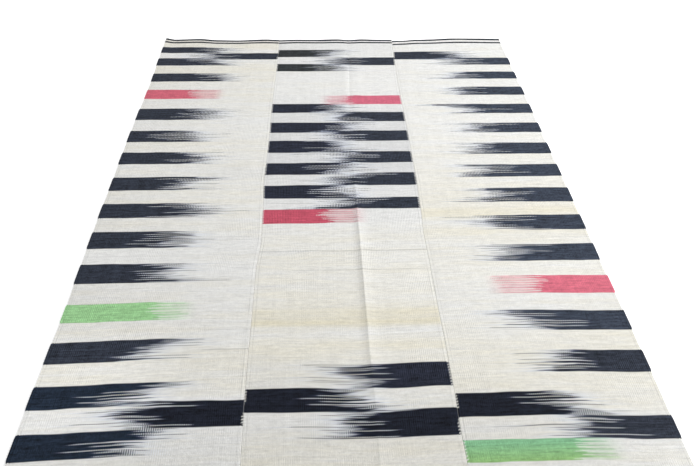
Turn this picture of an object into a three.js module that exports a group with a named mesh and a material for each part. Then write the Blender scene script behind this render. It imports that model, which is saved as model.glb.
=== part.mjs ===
// Kilim rug: three narrow strips of flat-woven cloth, sewn side by side along their length.
//
// Millimetres, +Z up. The origin lies on the floor under the middle of the rug. The strips run along Y,
// from the near end (-Y) to the far end (+Y), and the rug's width runs along X.
// The cloth lies flat, apart from one lengthwise fold mark in the middle strip and a few small ripples
// along the far end, where the corner on the left is lifted a little.

import * as THREE from 'three';

// Driving sizes
const LENGTH = 2310;
const WIDTH = 1700;
const THICKNESS = 3;
const SEAM_GAP = 0.3;

const FLOOR = 0;
const NEAR_END = -LENGTH / 2;
const FAR_END = LENGTH / 2;

// The four lengthwise lines of the rug where they would be if each strip were a straight third of it
const LINES = {
  leftEdge: -WIDTH / 2,
  leftSeam: -WIDTH / 6,
  rightSeam: WIDTH / 6,
  rightEdge: WIDTH / 2,
};

// How far each line strays from there towards +X: hand-woven strips draw in and spread again.
const STRAYS = [
  { along: -1155, leftEdge: 0, leftSeam: 9, rightSeam: 1, rightEdge: 0 },
  { along: -1010, leftEdge: 0, leftSeam: 4, rightSeam: -2, rightEdge: -1 },
  { along: -870, leftEdge: 0, leftSeam: 0, rightSeam: 0, rightEdge: 0 },
  { along: -730, leftEdge: 2, leftSeam: -1, rightSeam: -1, rightEdge: 0 },
  { along: -580, leftEdge: 5, leftSeam: -1, rightSeam: -3, rightEdge: 0 },
  { along: -430, leftEdge: 2, leftSeam: -2, rightSeam: -4, rightEdge: -1 },
  { along: -280, leftEdge: 1, leftSeam: 7, rightSeam: -6, rightEdge: 0 },
  { along: -130, leftEdge: 0, leftSeam: 2, rightSeam: -1, rightEdge: 0 },
  { along: 20, leftEdge: 1, leftSeam: -4, rightSeam: 3, rightEdge: 0 },
  { along: 175, leftEdge: 0, leftSeam: -2, rightSeam: 3, rightEdge: 0 },
  { along: 330, leftEdge: 0, leftSeam: 0, rightSeam: 4, rightEdge: 0 },
  { along: 480, leftEdge: 2, leftSeam: -1, rightSeam: 3, rightEdge: 0 },
  { along: 640, leftEdge: 6, leftSeam: 0, rightSeam: 0, rightEdge: 0 },
  { along: 790, leftEdge: 6, leftSeam: 3, rightSeam: 1, rightEdge: -2 },
  { along: 940, leftEdge: 3, leftSeam: 5, rightSeam: 4, rightEdge: -2 },
  { along: 1155, leftEdge: 4, leftSeam: 4, rightSeam: 8, rightEdge: -1 },
];

// The far end of each strip: how far it stops short of the rug's full length, and how high a ripple
// lifts it. across is the place in the strip, from 0 at its left side to 1 at its right side.
const FAR_EDGE = {
  left: [
    { across: 0, short: 0, lift: 6 },
    { across: 0.08, short: 4, lift: 0 },
    { across: 0.3, short: 2, lift: 2 },
    { across: 0.46, short: 11, lift: 0 },
    { across: 0.62, short: 14, lift: 0 },
    { across: 0.88, short: 6, lift: 1.2 },
    { across: 1, short: 10, lift: 0 },
  ],
  centre: [
    { across: 0, short: 13, lift: 0 },
    { across: 0.16, short: 8, lift: 0.5 },
    { across: 0.3, short: 10, lift: 0.5 },
    { across: 0.5, short: 9, lift: 3 },
    { across: 0.62, short: 12, lift: 0 },
    { across: 0.73, short: 9, lift: 3 },
    { across: 0.87, short: 9, lift: 1 },
    { across: 1, short: 10, lift: 0 },
  ],
  right: [
    { across: 0, short: 23, lift: 0 },
    { across: 0.08, short: 21, lift: 0 },
    { across: 0.35, short: 13, lift: 0 },
    { across: 0.56, short: 5, lift: 2 },
    { across: 0.82, short: 3, lift: 0.5 },
    { across: 1, short: 5, lift: 0 },
  ],
};

// A ripple of the far end dies away over this length of cloth.
const RIPPLE_LENGTH = 180;
const RIPPLE_START = FAR_END - RIPPLE_LENGTH;

// The fold mark: where its crest runs in the middle strip and how high it stands
const FOLD = [
  { along: -1155, crest: 68, height: 2 },
  { along: -900, crest: 66, height: 2.6 },
  { along: -720, crest: 61, height: 3.5 },
  { along: -520, crest: 59, height: 4.5 },
  { along: -340, crest: 57, height: 4.5 },
  { along: -150, crest: 54, height: 4 },
  { along: 210, crest: 51, height: 3 },
  { along: 580, crest: 54, height: 2.2 },
  { along: 850, crest: 62, height: 1.8 },
  { along: 1155, crest: 66, height: 0.6 },
];

// The fold is steep on its left and easy on its right, and its crest is a soft edge.
const FOLD_LEFT_WIDTH = 26;
const FOLD_RIGHT_WIDTH = 44;

// How finely the sheets are faceted. A column of the middle strip follows each line of FOLD_COLUMNS,
// given as an offset from the crest.
const FOLD_COLUMNS = [-FOLD_LEFT_WIDTH, -17, -9, -4, 0, 5, 12, 22, 33, FOLD_RIGHT_WIDTH];
const SIDE_STRIP_COLUMNS = 12;
const COLUMNS_LEFT_OF_FOLD = 9;
const COLUMNS_RIGHT_OF_FOLD = 4;
const BODY_ROWS = 18;
const RIPPLE_ROWS = 5;

// Reads one column of a table at any place, easing smoothly from each row to the next.
function readTable(rows, key, column, place) {
  const next = rows.findIndex((row) => row[key] > place);
  if (next === 0) return rows[0][column];
  if (next === -1) return rows[rows.length - 1][column];
  const before = rows[next - 1];
  const after = rows[next];
  const share = (place - before[key]) / (after[key] - before[key]);
  return THREE.MathUtils.lerp(before[column], after[column], THREE.MathUtils.smoothstep(share, 0, 1));
}

function lineAt(name, along) {
  return LINES[name] + readTable(STRAYS, 'along', name, along);
}

// Height of the fold mark over the floor
function foldLift(x, along) {
  const offset = x - readTable(FOLD, 'along', 'crest', along);
  const width = offset < 0 ? FOLD_LEFT_WIDTH : FOLD_RIGHT_WIDTH;
  const share = Math.max(0, 1 - Math.abs(offset) / width);
  return readTable(FOLD, 'along', 'height', along) * share * share;
}

// Where a strip ends, at one place across it
function farEndOf(strip, across) {
  return FAR_END - readTable(strip.farEdge, 'across', 'short', across);
}

// Height of a ripple, full at the far end and gone RIPPLE_LENGTH before it
function rippleLift(strip, across, along) {
  const share = Math.max(0, 1 - (farEndOf(strip, across) - along) / RIPPLE_LENGTH);
  return readTable(strip.farEdge, 'across', 'lift', across) * share * share;
}

function evenSteps(start, end, count) {
  return Array.from({ length: count }, (_, step) => THREE.MathUtils.lerp(start, end, step / count));
}

// The places along a strip where it has a row of points. Up to the ripples, a row of one strip ends
// just where the next strip's row begins. From there on the rows close up to reach each strip's own end.
const BODY_ROW_PLACES = evenSteps(NEAR_END, RIPPLE_START, BODY_ROWS);
const RIPPLE_ROW_SHARES = [...evenSteps(0, 1, RIPPLE_ROWS), 1];

// Columns of a strip with no fold: evenly spaced from side to side
function plainColumns(left, right) {
  return [...evenSteps(left, right, SIDE_STRIP_COLUMNS), right];
}

// Columns of the middle strip: close together where they follow the fold mark
function foldedColumns(left, right, along) {
  const crest = readTable(FOLD, 'along', 'crest', along);
  return [
    ...evenSteps(left, crest - FOLD_LEFT_WIDTH, COLUMNS_LEFT_OF_FOLD),
    ...FOLD_COLUMNS.map((offset) => crest + offset),
    ...evenSteps(crest + FOLD_RIGHT_WIDTH, right, COLUMNS_RIGHT_OF_FOLD).slice(1),
    right,
  ];
}

// The two sides of a strip at one place along it
function sidesAt(strip, along) {
  return {
    left: lineAt(strip.leftLine, along) + strip.leftInset,
    right: lineAt(strip.rightLine, along) - strip.rightInset,
  };
}

// One row of points on a strip's underside. alongAt gives the row's place along the rug from the place
// across the strip, because the last rows bend with the far end.
function stripRow(strip, nominalAlong, alongAt) {
  const nominal = sidesAt(strip, nominalAlong);
  return strip.columns(nominal.left, nominal.right, nominalAlong).map((column) => {
    const across = (column - nominal.left) / (nominal.right - nominal.left);
    const along = alongAt(across);
    const sides = sidesAt(strip, along);
    const x = THREE.MathUtils.lerp(sides.left, sides.right, across);
    const lift = foldLift(x, along) + rippleLift(strip, across, along);
    return new THREE.Vector3(x, along, FLOOR + lift);
  });
}

// One strip as a grid of points on its underside: rows from the near end to the far end
function stripGrid(strip) {
  const bodyRows = BODY_ROW_PLACES.map((along) => stripRow(strip, along, () => along));
  const rippleRows = RIPPLE_ROW_SHARES.map((share) => {
    const alongAt = (across) => THREE.MathUtils.lerp(RIPPLE_START, farEndOf(strip, across), share);
    return stripRow(strip, THREE.MathUtils.lerp(RIPPLE_START, FAR_END, share), alongAt);
  });
  return [...bodyRows, ...rippleRows];
}

// A closed sheet over a grid of points: the underside, the same points THICKNESS higher, and four walls
function sheetGeometry(grid) {
  const rowCount = grid.length;
  const columnCount = grid[0].length;
  const underside = grid.flat();
  const topside = underside.map((point) => point.clone().setZ(point.z + THICKNESS));
  const geometry = new THREE.BufferGeometry().setFromPoints([...underside, ...topside]);

  const below = (row, column) => row * columnCount + column;
  const above = (row, column) => underside.length + below(row, column);
  const triangles = [];
  const quad = (a, b, c, d) => triangles.push(a, b, c, a, c, d);

  for (let row = 0; row < rowCount - 1; row += 1) {
    for (let column = 0; column < columnCount - 1; column += 1) {
      quad(above(row, column), above(row, column + 1), above(row + 1, column + 1), above(row + 1, column));
      quad(below(row, column), below(row + 1, column), below(row + 1, column + 1), below(row, column + 1));
    }
  }
  const lastRow = rowCount - 1;
  const lastColumn = columnCount - 1;
  for (let column = 0; column < lastColumn; column += 1) {
    quad(below(0, column), below(0, column + 1), above(0, column + 1), above(0, column));
    quad(
      below(lastRow, column + 1),
      below(lastRow, column),
      above(lastRow, column),
      above(lastRow, column + 1),
    );
  }
  for (let row = 0; row < lastRow; row += 1) {
    quad(below(row + 1, 0), below(row, 0), above(row, 0), above(row + 1, 0));
    quad(
      below(row, lastColumn),
      below(row + 1, lastColumn),
      above(row + 1, lastColumn),
      above(row, lastColumn),
    );
  }
  geometry.setIndex(triangles);
  geometry.computeVertexNormals();
  return geometry;
}

// Undyed wool, a slightly different batch in each strip
function wool(name, colour) {
  return new THREE.MeshStandardMaterial({ name, color: colour, roughness: 0.95, metalness: 0 });
}

// Beside a seam, a strip stops half the gap before the seam's line. Its outer side has no inset.
const STRIPS = [
  {
    name: 'strip_left',
    leftLine: 'leftEdge',
    rightLine: 'leftSeam',
    leftInset: 0,
    rightInset: SEAM_GAP / 2,
    farEdge: FAR_EDGE.left,
    columns: plainColumns,
    material: wool('cream_wool_left', 0xe8e6df),
  },
  {
    name: 'strip_centre',
    leftLine: 'leftSeam',
    rightLine: 'rightSeam',
    leftInset: SEAM_GAP / 2,
    rightInset: SEAM_GAP / 2,
    farEdge: FAR_EDGE.centre,
    columns: foldedColumns,
    material: wool('cream_wool_centre', 0xe4e1da),
  },
  {
    name: 'strip_right',
    leftLine: 'rightSeam',
    rightLine: 'rightEdge',
    leftInset: SEAM_GAP / 2,
    rightInset: 0,
    farEdge: FAR_EDGE.right,
    columns: plainColumns,
    material: wool('cream_wool_right', 0xece9e1),
  },
];

const rug = new THREE.Group();
for (const strip of STRIPS) {
  const mesh = new THREE.Mesh(sheetGeometry(stripGrid(strip)), strip.material);
  mesh.name = strip.name;
  rug.add(mesh);
}

export default rug;
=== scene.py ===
# %% [markdown]
# A kilim rug, as a lesson
#
# The real thing is a flat-woven wool rug. Three narrow strips were woven one after another on a small
# loom and then sewn side by side. On undyed cream wool lie short dark bars that start square at a side
# of their strip and fade out towards its middle like brush strokes, because the yarn was dyed for only
# part of its length before it was woven in.
#
# This script builds the rug in small steps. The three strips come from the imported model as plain
# sheets, and each is replaced here by a finer sheet with rounded edges, a weave and its own yarns.

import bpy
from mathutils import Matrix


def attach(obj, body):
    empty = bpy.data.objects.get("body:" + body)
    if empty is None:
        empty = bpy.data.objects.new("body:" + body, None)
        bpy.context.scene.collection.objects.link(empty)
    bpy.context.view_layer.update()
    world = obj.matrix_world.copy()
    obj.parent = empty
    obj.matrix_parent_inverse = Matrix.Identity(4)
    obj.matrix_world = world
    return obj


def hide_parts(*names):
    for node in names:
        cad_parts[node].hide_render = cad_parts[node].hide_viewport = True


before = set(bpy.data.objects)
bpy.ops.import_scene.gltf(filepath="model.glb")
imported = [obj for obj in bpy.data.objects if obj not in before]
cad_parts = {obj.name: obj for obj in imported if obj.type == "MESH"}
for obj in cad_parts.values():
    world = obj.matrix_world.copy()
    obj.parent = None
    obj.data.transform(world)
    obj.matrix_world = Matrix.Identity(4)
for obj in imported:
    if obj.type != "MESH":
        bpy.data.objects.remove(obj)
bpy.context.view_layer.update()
print("strips in the frame:", sorted(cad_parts))

# %% Other imports and units
from collections import namedtuple
from functools import partialmethod

import bpy
import numpy as np
from mathutils import Matrix, Vector

MM = 0.001

# %% [markdown]
# The camera
#
# The rug is seen from a standing person's eye height, a little left of its middle, looking down along
# its length. A camera in Blender looks along its own minus Z, so the simplest way to aim one exactly is
# to write the three directions of its axes as the columns of its matrix, and its place as the fourth.

# %% Make the camera
CAMERA_PLACE = Vector((-0.0627, -1.7579, 1.4596))
CAMERA_RIGHT = Vector((0.99905, -0.03930, 0.01905))
CAMERA_UP = Vector((0.01373, 0.69663, 0.71730))
CAMERA_LENS_MM = 31.37
SENSOR_WIDTH_MM = 36.0


def put_in_scene(name, data):
    """A new object with this mesh, lamp or camera, linked to the scene."""
    thing = bpy.data.objects.new(name, data)
    bpy.context.scene.collection.objects.link(thing)
    return thing


def make_camera():
    camera = put_in_scene("camera", bpy.data.cameras.new("camera"))
    camera.data.lens = CAMERA_LENS_MM
    camera.data.sensor_width = SENSOR_WIDTH_MM
    back = CAMERA_RIGHT.cross(CAMERA_UP).normalized()
    axes = Matrix((CAMERA_RIGHT, CAMERA_UP, back)).transposed().to_4x4()
    camera.matrix_world = Matrix.Translation(CAMERA_PLACE) @ axes
    bpy.context.scene.camera = camera


make_camera()
print("camera height:", round(CAMERA_PLACE.z, 3), "m")

# %% [markdown]
# The floor and the light
#
# The rug lies on a plain white studio floor. A white sky fills every hollow. A large soft key lamp far
# to the right stands low, so that its raking light catches the fold mark and the weave, and a weaker
# lamp above evens out the middle. The floor glows faintly, so that it stays whiter than the wool. The
# view transform is set to Standard, because the default one greys whites down, and cream wool on a
# white floor needs its whites.

# %% Colours are given as on a screen and changed to light here
def light_of(red, green, blue):
    """A colour with four parts, as the shaders want it, from screen values of 0 to 255."""
    share = np.array((red, green, blue)) / 255
    linear = np.where(share <= 0.04045, share / 12.92, ((share + 0.055) / 1.055) ** 2.4)
    return (*linear.tolist(), 1.0)


# %% Make the floor
FLOOR_HALF_SIZE = 20.0
FLOOR_DROP = 0.0004
FLOOR_GLOW = 0.3
WHITE = (1.0, 1.0, 1.0, 1.0)
FLOOR_FINISH = {
    "Base Color": light_of(250, 250, 250),
    "Roughness": 0.9,
    "Specular IOR Level": 0.0,
    "Emission Color": WHITE,
    "Emission Strength": FLOOR_GLOW,
}


def new_material(name, finish):
    """A material whose shader has these plain values. Gives back both the material and the sockets."""
    material = bpy.data.materials.new(name)
    material.use_nodes = True
    sockets = material.node_tree.nodes["Principled BSDF"].inputs
    for socket_name, value in finish.items():
        sockets[socket_name].default_value = value
    return material, sockets


def make_floor():
    mesh = bpy.data.meshes.new("floor")
    side = FLOOR_HALF_SIZE
    corners = [(-side, -side, -FLOOR_DROP), (side, -side, -FLOOR_DROP)]
    corners += [(side, side, -FLOOR_DROP), (-side, side, -FLOOR_DROP)]
    mesh.from_pydata(corners, [], [(0, 1, 2, 3)])
    mesh.materials.append(new_material("white_floor", FLOOR_FINISH)[0])
    floor = put_in_scene("floor", mesh)


make_floor()
print("floor", FLOOR_HALF_SIZE * 2, "m wide")

# %% Make the sky and the lamps
SKY_STRENGTH = 0.5
KEY_PLACE = Vector((6.6, 0.4, 3.5))
KEY_SIZE = 2.8
KEY_POWER = 612.0
CEILING_PLACE = Vector((0.3, 1.1, 3.4))
CEILING_SIZE = 2.2
CEILING_POWER = 38.0


def make_sky():
    world = bpy.data.worlds.new("white_sky")
    world.use_nodes = True
    background = world.node_tree.nodes["Background"]
    background.inputs["Color"].default_value = WHITE
    background.inputs["Strength"].default_value = SKY_STRENGTH
    bpy.context.scene.world = world


def make_lamp(name, place, size, power):
    """A round soft lamp that looks at the middle of the rug."""
    lamp = put_in_scene(name, bpy.data.lights.new(name, "AREA"))
    lamp.data.shape = "DISK"
    lamp.data.size = size
    lamp.data.energy = power
    lamp.location = place
    lamp.rotation_euler = (-place).to_track_quat("-Z", "Y").to_euler()


make_sky()
make_lamp("key_lamp", KEY_PLACE, KEY_SIZE, KEY_POWER)
make_lamp("ceiling_lamp", CEILING_PLACE, CEILING_SIZE, CEILING_POWER)
bpy.context.scene.view_settings.view_transform = "Standard"
bpy.context.scene.view_settings.look = "None"
print("key lamp at", tuple(KEY_PLACE), "sky", SKY_STRENGTH)

# %% [markdown]
# The outline of the strips
#
# Hand-woven strips are never straight: they draw in and spread again by some millimetres, and the far
# end of each runs a little uneven. These tables say so, in millimetres, at a few places along the rug,
# just as the solid model does. Drawn curves would do as well, but millimetres can be compared with the
# solid model. A table is read at any place by easing smoothly from one row to the next. numpy reads the
# whole sheet at once, which is far quicker in Python than one point at a time.

# %% Sizes of the strips
LENGTH = 2310.0
WIDTH = 1700.0
THICKNESS = 3.0
SEAM_GAP = 0.3
STRIP_WIDTH = WIDTH / 3
NEAR_END = -LENGTH / 2
FAR_END = LENGTH / 2
print("each strip is", round(STRIP_WIDTH), "mm wide and", round(LENGTH), "mm long")

# %% How far the sides and the seams stray from a straight line
Line = namedtuple("Line", "along left_edge left_seam right_seam right_edge")
STRAYS = [
    Line(-1155, 0, 9, 1, 0),
    Line(-1010, 0, 4, -2, -1),
    Line(-870, 0, 0, 0, 0),
    Line(-730, 2, -1, -1, 0),
    Line(-580, 5, -1, -3, 0),
    Line(-430, 2, -2, -4, -1),
    Line(-280, 1, 7, -6, 0),
    Line(-130, 0, 2, -1, 0),
    Line(20, 1, -4, 3, 0),
    Line(175, 0, -2, 3, 0),
    Line(330, 0, 0, 4, 0),
    Line(480, 2, -1, 3, 0),
    Line(640, 6, 0, 0, 0),
    Line(790, 6, 3, 1, -2),
    Line(940, 3, 5, 4, -2),
    Line(1155, 4, 4, 8, -1),
]
LINE_PLACES = {
    "left_edge": -WIDTH / 2,
    "left_seam": -WIDTH / 6,
    "right_seam": WIDTH / 6,
    "right_edge": WIDTH / 2,
}

# %% The uneven far ends, and how they lift off the floor
End = namedtuple("End", "across short lift")
FAR_EDGES = {
    "strip_left": [
        End(0, -3, 6),
        End(0.08, 0, 0),
        End(0.3, -2, 2),
        End(0.46, 7, 0),
        End(0.62, 10, 0),
        End(0.88, 2, 1.2),
        End(1, 6, 0),
    ],
    "strip_centre": [
        End(0, 8, 0),
        End(0.16, 3, 0.5),
        End(0.3, 5, 0.5),
        End(0.5, 4, 3),
        End(0.62, 7, 0),
        End(0.73, 4, 3),
        End(0.87, 4, 1),
        End(1, 5, 0),
    ],
    "strip_right": [
        End(0, 17, 0),
        End(0.08, 14, 0),
        End(0.25, 3, 0),
        End(0.35, 0, 0),
        End(0.56, -7, 2),
        End(0.82, -8, 0.5),
        End(1, -5, 0),
    ],
}
RIPPLE_LENGTH = 180.0
RIPPLE_START = FAR_END - RIPPLE_LENGTH

# %% The fold mark
Crest = namedtuple("Crest", "along crest height")
FOLD = [
    Crest(-1155, 68, 2),
    Crest(-900, 66, 2.6),
    Crest(-720, 61, 4),
    Crest(-520, 59, 5.2),
    Crest(-340, 57, 5.2),
    Crest(-150, 54, 4),
    Crest(210, 51, 1.5),
    Crest(580, 56, -2.2),
    Crest(850, 62, -2.4),
    Crest(1155, 66, -0.8),
]
FOLD_LEFT_WIDTH = 26.0
FOLD_RIGHT_WIDTH = 44.0
SHOULDER_WIDTH = 75.0


# %% Read the tables
def ease(share):
    return share * share * (3 - 2 * share)


def read_table(rows, column, places):
    """One column of a table at many places, eased from row to row. Its first column says where."""
    keys = np.array([row[0] for row in rows], float)
    values = np.array([getattr(row, column) for row in rows], float)
    places = np.clip(places, keys[0], keys[-1])
    before = np.clip(np.searchsorted(keys, places, side="right") - 1, 0, len(keys) - 2)
    share = (places - keys[before]) / (keys[before + 1] - keys[before])
    return values[before] + (values[before + 1] - values[before]) * ease(share)


def line_at(name, along):
    return LINE_PLACES[name] + read_table(STRAYS, name, along)


def fold_lift(x, along):
    """Height of the fold mark. Near the camera it is a ridge, steep on its left and easy on its right.
    Far away it is a dent between two low shoulders, because the cloth was folded the other way there."""
    offset = x - read_table(FOLD, "crest", along)
    height = read_table(FOLD, "height", along)
    width = np.where(offset < 0, FOLD_LEFT_WIDTH, FOLD_RIGHT_WIDTH)
    share = np.clip(1 - np.abs(offset) / width, 0, 1)
    ridge = height * share * share
    shoulder = ease(np.clip(1 - np.abs(offset) / SHOULDER_WIDTH, 0, 1))
    return ridge + np.maximum(-height, 0) * shoulder


print("fold mark up to", max(row.height for row in FOLD), "mm high")

# %% [markdown]
# Making a sheet
#
# A strip of cloth is thin, but it has two faces and soft edges. A Solidify modifier could thicken a
# flat grid, but it would leave a straight wall all round, so both faces are built here. One grid of
# points is made for the top and one for the underside, and both share the points along their rim,
# where the cloth's half thickness shrinks to nothing along a quarter circle. That closes the sheet
# with round selvedges and no walls. Cloth on a floor is never dead flat either, so a few slow waves,
# well under a millimetre high, are added. They are sums of sines with seeded directions, so the result
# is the same on every run.

# %% Slow waves
WAVE_HEIGHT = 0.55
WAVE_LENGTH = 260.0
WAVE_SEED = 5


def slow_waves(x, y, length, seed, count=7):
    """Smooth unevenness between about -1 and 1 whose waves are about this long."""
    random = np.random.default_rng(seed)
    total = np.zeros(np.broadcast(x, y).shape)
    for _ in range(count):
        turn = random.uniform(0, 2 * np.pi)
        step = 2 * np.pi / (length * random.uniform(0.6, 1.6))
        phase = random.uniform(0, 2 * np.pi)
        total = total + np.sin((x * np.cos(turn) + y * np.sin(turn)) * step + phase)
    return total / np.sqrt(count * 2)


def floor_waves(x, along):
    """How far the cloth lies off the floor."""
    return WAVE_HEIGHT * (1 + slow_waves(x, along, WAVE_LENGTH, WAVE_SEED)) / 2


# %% Where the sheet has its rows and columns
RIM_INSETS = np.array((0.0, 0.12, 0.45, 0.9, 1.5))
RIM_CLEARANCE = 3.0
CORD_WIDTH = 4.0
CORD_COUNT = 3
ROW_STEP = 8.0
SIDE_COLUMNS = 37
LEFT_OF_FOLD_COLUMNS = 22
RIGHT_OF_FOLD_COLUMNS = 12
FOLD_OFFSETS = np.array((-26, -20, -14, -9, -5, -2.2, 0, 2.2, 5, 9, 14, 21, 32, 44.0))


def with_rim(places, low, high):
    """The places with close rows added at both ends, where the rim is rounded."""
    inner = places[(places > low + RIM_CLEARANCE) & (places < high - RIM_CLEARANCE)]
    return np.concatenate((low + RIM_INSETS, inner, high - RIM_INSETS[::-1]))


def row_places():
    steps = int(LENGTH / ROW_STEP)
    return with_rim(np.linspace(NEAR_END, FAR_END, steps + 1), NEAR_END, FAR_END)


def column_places(width, fold_at=None):
    """Places across a strip in millimetres from its left side. Their number is always the same."""
    cords = CORD_WIDTH * np.arange(1, CORD_COUNT + 1)
    if fold_at is None:
        inner = np.linspace(cords[-1], width - cords[-1], SIDE_COLUMNS)
    else:
        fold = fold_at + FOLD_OFFSETS
        left = np.linspace(cords[-1], fold[0], LEFT_OF_FOLD_COLUMNS)
        right = np.linspace(fold[-1], width - cords[-1], RIGHT_OF_FOLD_COLUMNS)
        inner = np.concatenate((left, fold[1:-1], right))
    return with_rim(np.concatenate((cords[:-1], inner, width - cords[-2::-1])), 0, width)


print("rows:", len(row_places()), "columns of a side strip:", len(column_places(STRIP_WIDTH)))

# %% The outer edges swell a little where a dark bar ends
SWELL = 2.6
SWELL_INWARD = 0.4
SWELL_WIDTH = 45.0
SWELL_EASE = 7.0


def edge_swell(bars, nominal):
    """How far the edge lies out at each row. At a bar the dyed yarn is thicker and pushes it outwards."""
    swell = np.zeros(len(nominal))
    for bar in bars:
        inside = np.minimum(bar.far - nominal, nominal - bar.near)
        swell = np.maximum(swell, ease(np.clip(inside / SWELL_EASE + 0.5, 0, 1)))
    return SWELL * (swell - SWELL_INWARD)


# %% The shape of one strip
Strip = namedtuple("Strip", "name left_line right_line left_gap right_gap folded seed")
STRIPS = [
    Strip("strip_left", "left_edge", "left_seam", 0, SEAM_GAP / 2, False, 11),
    Strip("strip_centre", "left_seam", "right_seam", SEAM_GAP / 2, SEAM_GAP / 2, True, 23),
    Strip("strip_right", "right_seam", "right_edge", SEAM_GAP / 2, 0, False, 37),
]


def strip_grid(strip):
    """Numbers for every point of a strip: its place, and where that is on the flat cloth."""
    nominal = row_places()
    left = line_at(strip.left_line, nominal) + strip.left_gap
    right = line_at(strip.right_line, nominal) - strip.right_gap
    columns = []
    for row, along in enumerate(nominal):
        width = right[row] - left[row]
        crest = read_table(FOLD, "crest", along) - left[row] if strip.folded else None
        columns.append(column_places(width, crest) / width)
    share = np.array(columns)

    short = read_table(FAR_EDGES[strip.name], "short", share)
    bend = np.clip((nominal - RIPPLE_START) / RIPPLE_LENGTH, 0, 1)[:, None]
    along = nominal[:, None] - short * bend
    left = line_at(strip.left_line, along) + strip.left_gap
    right = line_at(strip.right_line, along) - strip.right_gap
    x = left + (right - left) * share
    for side, distance in (("left", share), ("right", 1 - share)):
        if getattr(strip, f"{side}_gap"):
            continue
        swell = edge_swell(BARS[strip.name, side], nominal)[:, None] * (1 if side == "right" else -1)
        x = x + swell * ease(np.clip(1 - distance * STRIP_WIDTH / SWELL_WIDTH, 0, 1))

    ripple = np.clip(1 - (FAR_END - short - along) / RIPPLE_LENGTH, 0, 1)
    lift = read_table(FAR_EDGES[strip.name], "lift", share) * ripple**2
    lift += fold_lift(x, along)
    lift += floor_waves(x, along)

    inset = np.minimum(share, 1 - share) * STRIP_WIDTH
    inset = np.minimum(inset, np.minimum(nominal - NEAR_END, FAR_END - nominal)[:, None])
    round_off = 1 - np.clip(inset / (THICKNESS / 2), 0, 1)
    half = THICKNESS / 2 * np.sqrt(1 - round_off**2)
    middle = THICKNESS / 2 + np.maximum(lift, 0)
    return {
        "x": x,
        "along": along,
        "top": middle + half,
        "under": middle - half,
        "across": share * STRIP_WIDTH,
        "nominal": np.broadcast_to(nominal[:, None], x.shape),
    }


# %% Points and faces of a sheet
def grid_faces(index):
    """Four-cornered faces over a grid of point numbers, facing up."""
    corners = (index[:-1, :-1], index[:-1, 1:], index[1:, 1:], index[1:, :-1])
    return np.stack([corner.ravel() for corner in corners], axis=1)


def sheet_mesh(name, grid):
    """A closed sheet. The top and the underside share the points of the rim."""
    shape = grid["x"].shape
    top = np.arange(shape[0] * shape[1]).reshape(shape)
    under = top.copy()
    under[1:-1, 1:-1] = top.size + np.arange((shape[0] - 2) * (shape[1] - 2)).reshape(
        shape[0] - 2, shape[1] - 2
    )
    upper = np.stack((grid["x"], grid["along"], grid["top"]), axis=-1).reshape(-1, 3)
    lower = np.stack((grid["x"], grid["along"], grid["under"]), axis=-1)[1:-1, 1:-1]
    points = np.concatenate((upper, lower.reshape(-1, 3))) * MM
    faces = np.concatenate((grid_faces(top), grid_faces(under)[:, ::-1]))
    mesh = bpy.data.meshes.new(name)
    mesh.from_pydata(points.tolist(), [], faces.tolist())
    mesh.validate()
    mesh.shade_smooth()
    return mesh


def both_sides(values):
    """One value for each point of the mesh, from a grid of values."""
    return np.concatenate((values.ravel(), values[1:-1, 1:-1].ravel()))


# %% [markdown]
# The chart of the dyed bars
#
# A weaver would work from a chart, and so does this script. Each row below is one bar: where its two
# edges lie along the rug, its yarn, and how far the dyed yarn reaches in from the side that it starts
# from, at the bar's far edge, at three levels inside it and at its near edge. The bars are listed for
# each strip and side, all in millimetres. A painted picture would look the same from one place, but a
# chart stays sharp close up, and a bar can be moved by changing one number. In navy bars every pick
# ends somewhere else, so the fade looks brushed. In pink and green bars pairs of long and short picks
# take turns like the teeth of a comb, and the last column says how far the long ones reach.

# %% Bars of the left strip
Bar = namedtuple("Bar", "far near yarn reach comb near_yarn", defaults=(0, None))
BARS = {}
BARS["strip_left", "left"] = [
    Bar(1070, 1015, "navy", (215, 275, 245, 240, 255)),
    Bar(961, 893, "navy", (243, 240, 222, 285, 312)),
    Bar(817, 748, "navy", (240, 255, 290, 295, 285)),
    Bar(673, 601, "dusty_pink", (212, 196, 196, 212, 226), 315),
    Bar(520, 438, "navy", (245, 260, 270, 248, 245)),
    Bar(357, 280, "navy", (185, 215, 213, 235, 246)),
    Bar(208, 136, "navy", (220, 250, 280, 270, 260)),
    Bar(53, -20, "navy", (300, 280, 235, 205, 262)),
    Bar(-96, -169, "navy", (270, 290, 330, 345, 290)),
    Bar(-240, -317, "navy", (250, 270, 252, 265, 270)),
    Bar(-391, -472, "navy", (245, 275, 215, 245, 340)),
    Bar(-557, -623, "green", (275, 268, 262, 270, 285), 358),
    Bar(-696, -765, "navy", (320, 275, 222, 225, 245)),
    Bar(-841, -907, "teal", (330, 238, 224, 218, 210)),
    Bar(-978, -1048, "teal", (310, 272, 225, 250, 262)),
]
BARS["strip_left", "right"] = [
    Bar(1010, 951, "navy", (300, 315, 312, 300, 285)),
    Bar(-900, -973, "ink", (245, 280, 285, 245, 220)),
]

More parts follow.
